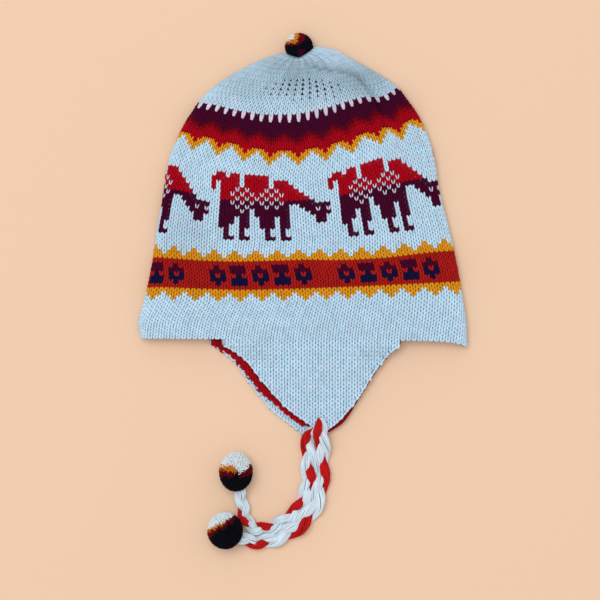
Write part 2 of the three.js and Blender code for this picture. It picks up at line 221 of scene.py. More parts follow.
# Closed tubes round many lines at once. lines is (tube, step, xyz); the first and last steps
# are the pointed ends. half gives each step's half width and half thickness.
def tubes(lines, normals, half, sides, tones):
    count, steps, _ = lines.shape
    along = unit(np.gradient(lines, axis=1))
    side = unit(np.cross(along, normals))
    up = np.cross(side, along)
    angles = -math.pi / 2 + wholeTurn * np.arange(sides) / sides
    rings = (lines[:, 1:-1, None]
             + side[:, 1:-1, None] * (half[:, 1:-1, None, :1] * np.cos(angles)[:, None])
             + up[:, 1:-1, None] * (half[:, 1:-1, None, 1:] * np.sin(angles)[:, None]))
    points = np.concatenate([rings.reshape(count, -1, 3), lines[:, :1], lines[:, -1:]], axis=1)
    perTube = points.shape[1]
    j = np.arange(sides)
    after = (j + 1) % sides
    ring = sides * np.arange(steps - 3)[:, None]
    quads = np.stack([ring + j, ring + after, ring + sides + after, ring + sides + j], axis=-1).reshape(-1, 4)
    last = sides * (steps - 3)
    triangles = np.concatenate([
        np.stack([np.full(sides, perTube - 2), after, j], axis=1),
        np.stack([np.full(sides, perTube - 1), last + j, last + after], axis=1),
    ])
    shift = (np.arange(count) * perTube)[:, None, None]

    def onPoints(values):        # from each step to its ring's points
        middle = np.repeat(values[:, 1:-1], sides, axis=1)
        return np.concatenate([middle, values[:, :1], values[:, -1:]], axis=1)

    reach = np.linalg.norm(np.diff(lines, axis=1), axis=-1).cumsum(axis=1) / (wool["plyPitch"] * mm)
    run = np.zeros((count, perTube, 2))
    run[..., 0] = onPoints(np.pad(reach, ((0, 0), (1, 0))))
    run[:, :-2, 1] = np.tile(j / sides, steps - 2)
    if tones.ndim == 2:
        tones = np.repeat(tones[:, None], steps, axis=1)
    return (points.reshape(-1, 3), (quads + shift).reshape(-1, 4), (triangles + shift).reshape(-1, 3),
            onPoints(tones).reshape(-1, 3), run.reshape(-1, 2))


# Camera, straight above as in the photo
def lookDown():
    data = bpy.data.cameras.new("camera")
    data.lens, data.sensor_width, data.clip_end = studio["lens"], studio["sensor"], 20
    camera = addObject("camera", data)
    height = studio["frameWidth"] * studio["lens"] / studio["sensor"]
    camera.location = (*studio["centre"], studio["level"] + height)
    scene.camera = camera


lookDown()

# Braids: three strands plaited, each a bundle of yarns. The routes are the frame's own.
braidFront = {
    "route": [
        (0.0116, -0.0576, 0.0134), (0.0132, -0.066, 0.0132), (0.0144, -0.074, 0.0119),
        (0.0147, -0.082, 0.0082), (0.0147, -0.092, 0.005), (0.0145, -0.102, 0.0042),
        (0.0138, -0.111, 0.0042), (0.0124, -0.119, 0.0042), (0.01, -0.1264, 0.0042),
        (0.0066, -0.1334, 0.0042), (0.0018, -0.14, 0.0042), (-0.0042, -0.1458, 0.0042),
        (-0.0114, -0.1506, 0.0042), (-0.0196, -0.1546, 0.0042), (-0.0286, -0.1576, 0.0042),
        (-0.038, -0.1584, 0.0046), (-0.0464, -0.1566, 0.0064), (-0.054, -0.153, 0.009),
    ],
    "lead": [],
    # mm along, and how many strands have lain on top at the outside of the bend
    "crossings": [(-30, -1), (8, 0.5), (45, 2), (92, 4), (114, 5), (130.5, 6), (146, 7), (165, 8.4)],
    # what shows red: mm along, inside (1) or outside (-1) of the bend
    "leaves": [(11.5, 1), (48, -1), (94.9, -1), (132.6, -1)],
    # mm along, mm drawn to the inside of the bend, mm raised, and how plump
    "offsets": [(0, 0.2, 0, 1.02), (15, 1, 0, 1.08), (30, 0.9, 0, 1.08), (60, 1, 0.8, 1.12),
                (78, 1.5, 1.4, 1.26), (105, 1.5, 1.4, 1.26), (128, 0.8, 0.4, 1.08), (148, 0, 0, 1)],
    "seed": 11,
}
braidBack = {
    "route": [
        (0.0032, -0.0721, 0.0042), (0.0024, -0.08, 0.0042), (0.0022, -0.09, 0.0042),
        (0.0021, -0.1, 0.0042), (0.0016, -0.108, 0.0042), (0.0003, -0.116, 0.0042),
        (-0.0026, -0.1236, 0.0042), (-0.007, -0.1306, 0.0042), (-0.0128, -0.1362, 0.0042),
        (-0.02, -0.1408, 0.0042), (-0.0276, -0.1444, 0.0042), (-0.0356, -0.146, 0.0042),
        (-0.043, -0.1436, 0.0042), (-0.0476, -0.1376, 0.0044), (-0.0496, -0.1296, 0.0052),
        (-0.0514, -0.1216, 0.0074), (-0.053, -0.114, 0.0096),
    ],
    "lead": [(0.0078, -0.0655, 0.0072), (0.0056, -0.0688, 0.0058)],    # from under the upper flap
    "crossings": [(-30, -1.1), (2.5, 0.5), (32.5, 2), (58.5, 3.5), (90.5, 5.5), (107, 7), (121, 8),
                  (140, 9.2)],
    "leaves": [(5, 1), (35, -1), (61, 1), (92.4, 1), (110, -1)],
    "offsets": [(0, -0.2, 0, 1), (25, -0.7, 0, 1.06), (50, -1.2, 0, 1.02), (75, -1.8, 0, 0.98),
                (100, -1.4, 0, 0.98), (115, -0.2, 0, 0.94), (133, 0, 0, 0.92)],
    "seed": 12,
}
plait = {
    "width": 11.4 * mm,
    "sway": 3.2 * mm,       # how far a strand's middle swings to each side
    "lift": 1.95 * mm,      # and up and down
    "strand": (3.15 * mm, 2.0 * mm),
    "yarns": 12,
    "yarnRadius": 0.66 * mm,
    "lay": 70 * mm,          # in which a strand's yarns turn once
    "step": 1.2 * mm,
    "startTaper": 10 * mm,
    "floor": 0.75 * mm,      # the lowest that a yarn's middle lies
}


# A smooth curve through the points, at even steps
def smoothRoute(points, step):
    p = np.array(points)
    p = np.concatenate([[2 * p[0] - p[1]], p, [2 * p[-1] - p[-2]]])
    t = np.linspace(0, 1, 24, endpoint=False)[:, None]
    spans = [
        0.5 * (2 * p[i] + (p[i + 1] - p[i - 1]) * t
               + (2 * p[i - 1] - 5 * p[i] + 4 * p[i + 1] - p[i + 2]) * t ** 2
               + (3 * p[i] - p[i - 1] - 3 * p[i + 1] + p[i + 2]) * t ** 3)
        for i in range(1, len(p) - 2)
    ]
    curve = np.concatenate([*spans, [p[-2]]])
    gone = travelled(curve)
    even = np.linspace(0, gone[-1], max(4, round(gone[-1] / step)))
    return np.stack([np.interp(even, gone, curve[:, i]) for i in range(3)], axis=1), gone[-1]


# A strand's yarns: each one's line, its outward direction and its half sizes
def bundle(middle, side, up, across, height, full, random):
    gone = travelled(middle)
    wide, tall = (size - 0.8 * plait["yarnRadius"] for size in plait["strand"])
    yarns = []
    for yarn in range(plait["yarns"]):
        turn = wholeTurn * (yarn / plait["yarns"] + gone / plait["lay"]) + random.uniform(-0.15, 0.15)
        outward = across + wide * full * np.cos(turn)
        upward = height + tall * full * np.sin(turn)
        line = middle + side * outward[:, None] + up * upward[:, None]
        line[:, 2] = np.maximum(line[:, 2], plait["floor"])
        thick = plait["yarnRadius"] * random.uniform(0.9, 1.12) * full
        yarns.append((line, unit(side * np.cos(turn)[:, None] + up * np.sin(turn)[:, None]),
                      np.stack([thick * 1.15, thick * 0.95], axis=1)))
    return yarns


def makePlait(name, braid, node):
    _, length = smoothRoute(braid["route"], plait["step"])
    middle, drawn = smoothRoute([*braid["lead"], *braid["route"]], plait["step"])
    random = np.random.default_rng(braid["seed"])
    along = unit(np.gradient(middle, axis=0))
    side = unit(np.cross(along, [0, 0, 1]))
    up = np.cross(side, along)
    gone = np.linspace(length - drawn, length, len(middle))
    marks = np.transpose(braid["offsets"])
    aside, raised, plump = (np.interp(gone / mm, marks[0], values) for values in marks[1:])
    middle = middle + side * (aside * mm)[:, None] + up * (raised * mm)[:, None]
    narrow = plump * (0.3 + 0.7 * np.clip((gone - gone[0]) / plait["startTaper"], 0, 1) ** 0.6)
    narrow *= 1 - 0.14 * np.clip(gone / length, 0, 1) ** 2
    turn = wholeTurn / 3 * np.interp(gone / mm, *zip(*braid["crossings"]))
    thetas = [turn + 1.25 * math.pi - wholeTurn * strand / 3 for strand in range(3)]
    red = np.zeros((3, len(gone), 1), dtype=bool)
    for place, inside in braid["leaves"]:
        here = np.argmin(np.abs(gone / mm - place))
        strand = np.argmax([inside * np.sin(theta[here]) + 0.5 * np.sin(2 * theta[here]) for theta in thetas])
        passes = np.floor(thetas[strand] / math.pi + 0.1)      # from one dive under the others to the next
        red[strand, passes == passes[here]] = True
    yarns, tones = [], []
    for strand, theta in enumerate(thetas):
        over = np.sin(2 * theta)
        yarns += bundle(middle, side, up, plait["sway"] * np.sin(theta) * narrow, plait["lift"] * over,
                        narrow * (0.92 + 0.22 * over), random)
        base = np.where(red[strand], dyed["braidRed"], dyed["braidWhite"])
        tones += [base * random.uniform(0.9, 1.06) for _ in range(plait["yarns"])]
    lines, normals, halves = (np.array(column) for column in zip(*yarns))
    piece = addPiece(name, [tubes(lines, normals, halves, 6, np.array(tones))], node, material=plaitWool)
    print(name, "length", round(length, 4))
    return piece, middle, length


plaits = [
    makePlait("plait_front", braidFront, "braid_front"),
    makePlait("plait_back", braidBack, "braid_back"),
]

# Pompoms: cut tufts round a core. Their coloured layers are drawn as seen from above,
# in radii from the middle; the rest is black.
pompomSizes = {
    "tufts": 2400,
    "core": 0.9,             # of the radius
    "along": (0.8, 0.83, 0.93, 0.98, 1),      # a tuft's steps, of the radius
    "width": (0, 0.6, 1, 0.75, 0),            # and how wide it is there
    "jitter": 0.014,
    "ragged": 0.045,
    "floor": 0.2 * mm,
}
pompomFront = {
    "middle": (-63.8 * mm, -148 * mm, 14.6 * mm),
    "radius": 14.6 * mm,
    "stretch": (0.98, 1.02, 1),
    "layers": [
        ("pompomWhite", [(-1.3, 0.04), (-0.92, 0.08), (-0.72, 0.24), (-0.44, 0.4), (-0.1, 0.44),
            (0, 0.62), (0.3, 0.72), (0.46, 0.8), (0.6, 1.3), (-1.3, 1.3)]),
        ("pompomOrange", [(-1.3, -0.1), (-0.9, -0.03), (-0.6, 0.19), (-0.3, 0.3), (-0.08, 0.36),
            (0.02, 0.58), (-1.3, 1.3)]),
        ("pompomRed", [(-1.3, -0.5), (-0.92, -0.44), (-0.72, -0.22), (-0.44, -0.02), (-0.1, 0.14),
            (0.16, 0.32), (0.5, 0.52), (0.7, 1), (0.3, 1.3), (-1.3, 1.3)]),
    ],
    "seed": 21,
}
pompomBack = {
    "middle": (-55.2 * mm, -101.4 * mm, 13.5 * mm),
    "radius": 13.9 * mm,
    "stretch": (0.97, 1.12, 0.97),
    "peak": 0.07,            # how far its top rises
    "layers": [
        ("pompomWhite", [(-1.3, 0.36), (-0.81, 0.4), (-0.06, 0.4), (0.04, 0.12), (0.28, 0), (0.51, 0.12),
            (0.7, 0.2), (0.88, 0.42), (1.3, 0.42), (1.3, 1.6), (-1.3, 1.6)]),
        ("pompomOrange", [(-1.3, 0.2), (-0.9, 0.18), (-0.47, 0.06), (-0.06, 0.08), (0.06, 0.16), (0, 0.5),
            (-1.3, 0.5)]),
        ("pompomRed", [(-1.3, -0.12), (-0.97, -0.14), (-0.71, -0.18), (-0.34, -0.26), (0, -0.1),
            (0.09, 0), (0.33, -0.22), (0.61, -0.18), (0.96, -0.1), (1.3, 0), (1.3, 0.5), (-1.3, 0.5)]),
    ],
    "seed": 22,
}
pompomCrown = {
    "middle": (-4.8 * mm, 238.6 * mm, 8.6 * mm),
    "radius": 11.3 * mm,
    "stretch": (1, 0.98, 0.76),
    "layers": [
        ("pompomWhite", [(-1.2, 0.44), (-0.78, 0.42), (-0.38, 0.52), (-0.3, 1.2), (-1.2, 1.2)]),
        ("pompomOrange", [(-1.2, 0.3), (-0.75, 0.25), (-0.45, 0.18), (-0.12, 0.26), (0, 0.78), (0, 1.2),
            (-1.2, 1.2)]),
        ("pompomRed", [(-1, 0.1), (-0.12, 0.1), (0.36, 0.36), (0.5, 0.7), (0.3, 1.2), (-1.2, 1.2)]),
        ("purple", [(-0.05, -0.27), (0.38, -0.27), (0.38, -0.7), (-0.05, -0.7)]),
    ],
    "seed": 23,
}


def within(places, corners):
    inside = np.zeros(len(places), dtype=bool)
    for (ax, ay), (bx, by) in zip(corners, corners[1:] + corners[:1]):
        if ay != by:
            crossing = ax + (places[:, 1] - ay) * (bx - ax) / (by - ay)
            inside ^= ((places[:, 1] < ay) != (places[:, 1] < by)) & (places[:, 0] < crossing)
    return inside


def layerColours(directions, pompom, random):
    places = directions[:, :2] + random.normal(0, pompomSizes["ragged"], (len(directions), 2))
    tones = np.tile(dyed["pompomBlack"], (len(places), 1))
    for yarn, corners in reversed(pompom["layers"]):
        tones[within(places, corners)] = dyed[yarn]
    return tones * random.uniform(0.88, 1.08, (len(places), 1))


def makePompom(name, pompom, node):
    random = np.random.default_rng(pompom["seed"])
    count = pompomSizes["tufts"]
    middle, stretch = np.array(pompom["middle"]), np.array(pompom["stretch"])
    i = np.arange(count)
    polar, azimuth = np.arccos(1 - 2 * (i + 0.5) / count), i * math.pi * (3 - math.sqrt(5))
    level = np.sin(polar)
    directions = np.stack([level * np.cos(azimuth), level * np.sin(azimuth), np.cos(polar)], axis=1)
    directions = unit(directions + random.normal(0, 0.02, directions.shape))
    swell = 1 + pompom.get("peak", 0) * np.clip(directions[:, 1], 0, 1) ** 10
    radius = pompom["radius"] * swell * (1 + random.normal(0, pompomSizes["jitter"], count))
    shares = np.array(pompomSizes["along"])
    bent = random.normal(0, 0.06, (count, 1, 3)) * (shares[:, None] - shares[0]) * 4
    lines = middle + stretch * unit(directions[:, None] + bent) * (radius[:, None] * shares)[:, :, None]
    lines[:, :, 2] = np.maximum(lines[:, :, 2], pompomSizes["floor"])
    width = 0.62 * pompom["radius"] * math.sqrt(4 * math.pi / count) * np.array(pompomSizes["width"])
    half = np.tile(width[:, None], (count, 1, 2))
    normals = np.repeat(unit(np.cross(directions, unit(random.normal(0, 1, (count, 3)))))[:, None], 5, axis=1)
    tones = layerColours(directions, pompom, random)
    tufts = addPiece(name, [tubes(lines, normals, half, 4, tones)], node, tuftWool)
    ball = bmesh.new()
    bmesh.ops.create_icosphere(ball, subdivisions=4, radius=pompom["radius"] * pompomSizes["core"])
    bmesh.ops.scale(ball, verts=ball.verts, vec=pompom["stretch"])
    bmesh.ops.translate(ball, verts=ball.verts, vec=pompom["middle"])
    core = bpy.data.meshes.new(name + "_core")
    ball.to_mesh(core)
    ball.free()
    outward = unit((np.array([vertex.co for vertex in core.vertices]) - middle) / stretch)
    # painted shade: the core takes the layers' colours at 0.6, as little light reaches in among the tufts
    paint(core, layerColours(outward, pompom, random) * 0.6)
    addPiece(name + "_core", core, node, tuftWool)
    return tufts


tufts = [
    makePompom("tufts_front", pompomFront, "pompom_front"),
    makePompom("tufts_back", pompomBack, "pompom_back"),
]
makePompom("tufts_crown", pompomCrown, "crown_pompom")
print("braids and pompoms made")

# The hat's surface. Sizes are millimetres until the grid is made.
hat = {
    "columns": 60,           # wales across one face
    "foldRise": 6.6,
    "foldReach": 7.2,
    "bulge": 2.4,
    "steepest": 1.0,
    "brimDroop": 4.6,
    "tip": (-4.4, 231.6, 9.5),
    "flapTop": 8.6,
    "flapLength": 68.8,
    "flapRows": 22,
    "flapDroop": 2.4,
    "backShift": (-9.0, -13.0, -2.4),
}
sections = [                 # knitted row, left x and y, middle y, right x and y, and height
    (0, -131.6, 5.6, 4.4, 130, 3.6, 17),
    (6, -133.2, 19.2, 19.6, 128.8, 20.8, 21),
    (12, -129.2, 34.4, 36.4, 125.8, 41.2, 25),
    (22, -122.4, 65.6, 66.4, 119.6, 74.4, 29),
    (28, -119.2, 89.6, 84.6, 114.6, 96, 30),
    (36, -114.6, 114.4, 110, 107.6, 124, 30.5),
    (44, -109.4, 147.2, 135.2, 103.4, 150.4, 30.5),
    (51, -98.6, 173.6, 156.8, 94, 178.4, 29.5),
    (58, -85.4, 194.4, 178, 77.2, 203.2, 28),
    (61, -80.4, 200.4, 188.4, 72.4, 208, 27),
    (65, -64, 213.6, 204, 59.6, 216.8, 24.5),
    (69, -41.2, 226, 218.4, 38, 229.2, 21.5),
    (71, -27.6, 231.6, 225.4, 22, 237.6, 19.5),
    (72, -16.4, 234.4, 229, 7.2, 239.6, 17.5),
]
flapOutline = [              # below the brim, left and right
    (0, -66.8, 76.4), (5.6, -55.6, 69.6), (12, -48, 63.6), (20, -41.4, 57.2),
    (36, -28.4, 47.2), (52, -12.8, 35.6), (63.2, 3.2, 24.8), (68.8, 10, 17.2),
]
folds = [                    # of the crown: a valley, and on one side of it a lobe
    {
        "line": [(-4.8, 226.4), (9.6, 221.2), (36, 217.2), (48, 208), (56.8, 195.2), (62.4, 180),
                 (66.4, 162.4)],
        "depth": 4.4, "width": 7.5, "lobe": 2.6, "overlap": 1.4,
    },
    {
        "line": [(-5.2, 230), (-6.4, 220), (-8, 210), (-8.8, 198)],
        "depth": 2.6, "width": 6, "lobe": 0, "overlap": 0,
    },
]
lobeAway, lobeWidth = 9.5, 8.5
gathers, gatherHeight = 12, 0.6
gridStep = 0.25              # wales


# A table's columns at any place between its rows, on smooth curves through them
def tableAt(table, at):
    table = np.array(table, dtype=float)
    i = int(np.clip(np.searchsorted(table[:, 0], at) - 1, 0, len(table) - 2))
    before, a, b, after = (table[min(max(k, 0), len(table) - 1)] for k in range(i - 1, i + 3))
    span = b[0] - a[0]
    t = (at - a[0]) / span
    p = (b - before) / (b[0] - before[0]) * span
    q = (after - a) / (after[0] - a[0]) * span
    return ((2 * t ** 3 - 3 * t ** 2 + 1) * a + (t ** 3 - 2 * t ** 2 + t) * p
            + (3 * t ** 2 - 2 * t ** 3) * b + (t ** 3 - t ** 2) * q)[1:]


def smoothStep(value, low, high):
    t = np.clip((value - low) / (high - low), 0, 1)
    return t * t * (3 - 2 * t)


# One face's cross-section at a knitted row, from its left fold to its right one
def crossSection(row, upper):
    leftX, leftY, midY, rightX, rightY, loft = tableAt(sections, row)
    middle, half = (leftX + rightX) / 2, (rightX - leftX) / 2
    reach = min(hat["foldReach"], 0.6 * half)
    slope = math.atan(hat["bulge"] * (loft - 2 * hat["foldRise"]) / (half - reach)) if upper else 0
    lean = min(max(slope, 0), hat["steepest"])
    width = half - reach + reach * math.sin(lean)
    corner = np.linspace(1, 0, 24, endpoint=False)
    flat = np.linspace(-1, 1, 161)
    share = np.concatenate([-np.ones(len(corner)), flat, np.ones(len(corner))])
    bend = np.concatenate([corner, 0 * flat, corner[::-1]])
    turn = lean + (math.pi / 2 - lean) * bend
    offset = share * width + np.sign(share) * reach * (np.sin(turn) - math.sin(lean))
    xi = offset / half
    droop = hat["brimDroop"] * (1 - float(smoothStep(row, 0, 5))) * np.maximum(xi, 0) ** 12
    y = midY + (rightY - leftY) / 2 * xi + ((rightY + leftY) / 2 - midY) * np.abs(xi) ** 1.8 - droop
    if upper:
        spring = hat["foldRise"] * (1 + math.cos(lean))
        arch = (loft - spring) * (1 - np.abs(share) ** hat["bulge"])
        z = spring + arch - hat["foldRise"] * (math.cos(lean) - np.cos(turn))
    else:
        z = hat["foldRise"] * (1 - np.cos(turn))
    inner = (1 - bend) * (1 - share ** 6)
    points = np.stack([middle + offset, y, z, inner], axis=1)
    gone = travelled(points[:, :3])
    even = np.linspace(0, gone[-1], round(hat["columns"] / gridStep) + 1)
    return np.stack([np.interp(even, gone, points[:, i]) for i in range(4)], axis=1)


# Signed distance from a fold's line, positive on the lobe's side, and the place along it
def foldDistance(corners, x, y):
    line = smoothRoute([(*corner, 0) for corner in corners], 3.0)[0][:, :2]
    step = np.diff(line, axis=0)
    away = np.stack([x, y], axis=-1)[..., None, :] - line[:-1]
    t = np.clip((away * step).sum(axis=-1) / (step ** 2).sum(axis=1), 0, 1)
    away -= t[..., None] * step
    gap = np.hypot(away[..., 0], away[..., 1])
    signed = gap * np.sign(step[:, 0] * away[..., 1] - step[:, 1] * away[..., 0])
    i = gap.argmin(axis=-1)
    signed, t = (np.take_along_axis(values, i[..., None], axis=-1)[..., 0] for values in (signed, t))
    return signed, (i + t) / len(step), unit(step[:, ::-1] * (-1, 1))[i]


def pressFolds(grid):
    x, y, inner = grid[..., 0].copy(), grid[..., 1].copy(), grid[..., 3]
    for fold in folds:
        signed, place, across = foldDistance(fold["line"], x, y)
        fade = smoothStep(place, 0, 0.15) * (1 - smoothStep(place, 0.75, 1)) * inner
        raised = fold["lobe"] * np.exp(-((signed - lobeAway) / lobeWidth) ** 2)
        grid[..., 2] -= fade * (fold["depth"] * np.exp(-(signed / fold["width"]) ** 2) - raised)
        pull = -fold["overlap"] * np.tanh(signed / 2.0) * np.exp(-np.abs(signed) / 7.0) * fade
        grid[..., :2] += across * pull[..., None]


# A grid of surface points, with the place of its first column and its rows, to sample anywhere
def surface(points, firstU, rows):
    normals = unit(np.cross(np.gradient(points, axis=1), np.gradient(points, axis=0)))
    return {"points": points, "normals": normals, "firstU": firstU, "rows": rows}


def hatSurface():
    rows = np.arange(0, 72.1, 0.5)
    upper, lower = (np.array([crossSection(row, face) for row in rows]) for face in (True, False))
    pressFolds(upper)
    place = np.linspace(0, 1, upper.shape[1])
    wave = 0.5 + 0.5 * np.cos(wholeTurn * gathers * place)
    strength = smoothStep(rows, 58, 69)[:, None]
    upper[..., 2] += gatherHeight * strength * wave * np.sin(math.pi * place) ** 0.5
    around = np.concatenate([upper[:, :-1, :3], lower[:, ::-1, :3]], axis=1)
    tip = np.broadcast_to(np.array(hat["tip"]), around[:1].shape)
    grid = np.concatenate([2 * around[:1] - around[1:2], around, (around[-1:] + tip) / 2, tip]) * mm
    pad = 24
    wrapped = np.concatenate([grid[:, -1 - pad:-1], grid, grid[:, 1:1 + pad]], axis=1)
    return surface(wrapped, -pad * gridStep, np.concatenate([[-0.5], rows, [72.5, 73]]))


def between(grid, a, b):
    a, b = np.clip(a, 0, grid.shape[1] - 1.001), np.clip(b, 0, grid.shape[0] - 1.001)
    i, j = a.astype(int), b.astype(int)
    s, t = a - i, b - j
    if grid.ndim == 3:
        s, t = s[..., None], t[..., None]
    low = grid[j, i] * (1 - s) + grid[j, i + 1] * s
    high = grid[j + 1, i] * (1 - s) + grid[j + 1, i + 1] * s
    return low * (1 - t) + high * t


def rowPlace(v, rows):
    return np.interp(v, rows, np.arange(len(rows)))


# Points and normals at wales u and rows v
def sample(face, u, v):
    if "drifts" in face:
        up, aside = (between(drift, np.mod(u, facePerimeter) / driftStep, rowPlace(v, rows))
                     for drift, rows in face["drifts"])
        u, v = u + aside, v + up
    a, b = (u - face["firstU"]) / gridStep, rowPlace(v, face["rows"])
    return between(face["points"], a, b), unit(between(face["normals"], a, b))


hatFace = hatSurface()
facePerimeter = 2 * hat["columns"]
driftStep, driftFade = 0.5, 8    # wales: between marks, and in which they end on the lower face

# Rows of the upper face that run higher or lower than the surface's own: mm up at places x
rowDrifts = {
    0: [(0, 0)],
    15: [(-120, 3.2), (-84, 1.2), (-60, 0), (120, 0)],
    22: [(-120, 4.8), (-84, 2.4), (-60, 1.6), (-4, 2.0), (28, 0), (60, 0), (97, 1.8), (118, 1.4)],
    28: [(-104, 1), (-84, 0), (-72, -1.1), (-12, -1.1), (6, 0), (100, 0)],
    36: [(-104, 4), (-84, 1), (-72, -1.1), (-12, -1.2), (6, 0), (20, 0), (38, 2), (61, 4), (90, 4.5)],
    44: [(-104, 1), (-90, 0.5), (-72, -1.1), (-4, -1.1), (20, 0), (38, 4), (61, 7.9), (90, 9)],
    47: [(-89, 1.3), (-70, 0.8), (-49, -0.8), (-28, -1.9), (-6, -0.6), (18, 2.1), (38, 5.6), (61, 8.8),
         (77, 6.8), (89, 10)],
    61: [(-78, -5.6), (-69, -3.2), (-55, -3.2), (-34, -2.6), (-20, -1.1), (-7, -0.8), (0, 0.4),
         (14, 1.2), (27, 2.2), (33, 2.6), (47, 2.4), (58, -3.4), (63, -3), (69, -1.2), (75, 1)],
    65: [(-40, -1), (0, 0.5), (30, 4.5), (50, 3), (70, 0)],
    72: [(0, 0)],
}
# and its wales, which slant: mm to the right
waleDrifts = {
    0: [(0, 0)],
    12: [(-104, 7.7), (-88, 9.5), (-60, 9.8), (-36, 9.6), (-2, 9), (14, 7.7), (50, 6.8), (84, 7.2), (100, 8)],
    18: [(0, 7)],
    23: [(-104, 2.1), (-78, 1.8), (-48, 1.2), (-18, 2.2), (36, 2.2), (60, 3), (90, 4.5)],
    28: [(-110, 0.2), (-85, 1.2), (-50, 3.2), (60, 4.8)],
    35: [(-110, 0), (-80, 0.2), (-66, 2), (-12, 2.5), (10, 4), (19, 4.6), (26, 3.6), (60, 3.6)],
    40: [(-112, 3.2), (-95, 2), (-70, 1), (-10, 1.8), (20, 2.9), (60, 2.9)],
    44: [(-112, 3), (-80, 0), (-50, 0), (40, 1.9)],
    47: [(-89, 3), (-69, 2.4), (-48, 2.9), (-29, 1.2), (-6, 2.9), (17, 2.9), (38, 2.4), (62, 6.2), (78, 1.4)],
    58: [(0, 0)],
    72: [(0, 0)],
}


def makeDrift(marksAt, across):
    u = np.arange(0, facePerimeter + 0.1, driftStep)
    side = hat["columns"]
    fade = 1 - smoothStep(u, side, side + driftFade) + smoothStep(u, 2 * side - driftFade, 2 * side)
    nearest = np.where(u <= side, u, np.where(u < 1.5 * side, side, 0))
    table = []
    for row, marks in marksAt.items():
        places, before, after = (
            sample(hatFace, nearest + step * across, row + step * (not across) + 0 * u)[0]
            for step in (0, -0.5, 0.5))
        size = np.linalg.norm(after - before, axis=1) if across else (after - before)[:, 1]
        moved = np.pad(np.interp(places[:, 0] / mm, *zip(*marks)), 3, "edge")
        smooth = np.convolve(moved, np.ones(7) / 7, "valid")
        table.append(smooth * mm / np.maximum(size, 2 * mm) * fade)
    return np.array(table), list(marksAt)


patternFace = {**hatFace, "drifts": (makeDrift(rowDrifts, False), makeDrift(waleDrifts, True))}
print("hat surface made")


# The ear flaps go on from the brim's wales. down is millimetres below the brim.
def outlineAt(down):
    return tableAt(flapOutline, min(max(down, 0), hat["flapLength"]))


def flapHeight(x, part, rootZ):
    left, right = outlineAt(part * hat["flapLength"])
    across = np.clip((x - left) / (right - left), 0, 1)
    arch = (1 - smoothStep(part, 0, 0.85)) * (1 - np.abs(2 * across - 1) ** hat["flapDroop"])
    lying = hat["flapTop"] + (rootZ - hat["flapTop"]) * arch
    return rootZ + (lying - rootZ) * smoothStep(part, 0, 0.25)


def columnAt(x, upper):
    start = 0 if upper else hat["columns"]
    u = np.linspace(start, start + hat["columns"], 10 * hat["columns"] + 1)
    places, _ = sample(hatFace, u, 0 * u)
    order = np.argsort(places[:, 0])
    return np.interp(x * mm, places[order, 0], u[order])


# How far aside the lower flap lies at its root, and how much further at this part of its length
def asideAt(upper, part):
    root, tip, _ = (0, 0, 0) if upper else hat["backShift"]
    return root, (tip - root) * part


def flapSurface(upper):
    ends = sorted(columnAt(edge + asideAt(upper, 0)[0], upper) for edge in outlineAt(0))
    u = np.arange(math.floor(ends[0]) - 2, math.ceil(ends[1]) + 2.01, gridStep)
    rows = np.arange(-hat["flapRows"] - 1, 2.01, 0.5)
    root, _ = sample(hatFace, u, 0 * u)
    grid = []
    for row in rows:
        if row >= 0:
            grid.append(sample(hatFace, u, row + 0 * u)[0])
            continue
        part = -row / hat["flapRows"]
        x = root[:, 0] + asideAt(upper, part)[1] * mm
        y = root[:, 1] * (1 - part) - hat["flapLength"] * part * mm
        if upper:
            z = flapHeight(x / mm, part, root[:, 2] / mm) * mm
        else:
            y, z = y + hat["backShift"][2] * part * mm, 0 * x
        grid.append(np.stack([x, y, z], axis=1))
    return surface(np.array(grid), u[0], rows), ends


flapFaces = {True: flapSurface(True), False: flapSurface(False)}


# Wales and rows of the place x on a flap
def flapPlace(upper, x, down):
    u = columnAt(x - asideAt(upper, down / hat["flapLength"])[1], upper)
    rootY = sample(hatFace, u, 0 * u)[0][:, 1] / mm
    return u, -hat["flapRows"] * (rootY + down) / (rootY + hat["flapLength"])


def flapEdges(upper, down):
    return outlineAt(down) + sum(asideAt(upper, max(down, 0) / hat["flapLength"]))


# The knitted pattern, from the brim to the crown. A repeat is 24 wales.
pattern = {
    "repeat": 24,
    "llamaPhase": 11,        # the wale where a llama's tail starts on the upper face
    "upperPhase": 12,
    "lowerPhase": 12,
    "scallopPhase": 10,
    "bandPhase": 11,
    "lowerTriangles": 12,
    "band": 15,
    "upperTriangles": 22,
    "llamas": 28,
    "scallops": 47,
    "prongs": 58,
    "crown": 60,
}
llamaRows = [                # top row first: L wool of the llama, o a white spot
    ".LL.LL.LLLLL............",
    "LLLLLL.LLLLL.LLL........",
    "L.LLLL.LLLLL.LLLL.......",
    "L.LLLoLoLLLoLoLLLL......",
    "..LLoLoLoLoLoLoLLLL.....",
    "..LLLoLoLoLoLoLLLLLL....",
    "..LLoLoLoLoLoLoLLLLLL...",
    "..LLLoLoLLLoLoLL..LLLLLL",
    "..LLLLoL.LLLLLLL...LLoLo",
    "..LLLLLL.LLLLLLL....LLLL",
    "..LLL.LL..LLL.LL.....LL.",
    "..LLL.LL..LLL.LL.....LL.",
    "..LL..LL..LLL.LL........",
    "...L..L....L..L.........",
    "...L..L....L..L.........",
    "...LL.LL...LL.LL........",
]
bandFigures = (              # along the red band, top row first, alternately
    (".#.", "###", "#.#", "###", ".#."),
    ("###", "###", ".#.", "###", "###"),
)
scallopRows = ["G.....", "GG...G", "RGG.GG", "RRtttR"]     # lowest first: t short gold, R red
beltRamp = [(0, "brightRed"), (2.5, "brightRed"), (3.6, "deepRed"), (4.6, "darkRed"), (5.6, "purple")]


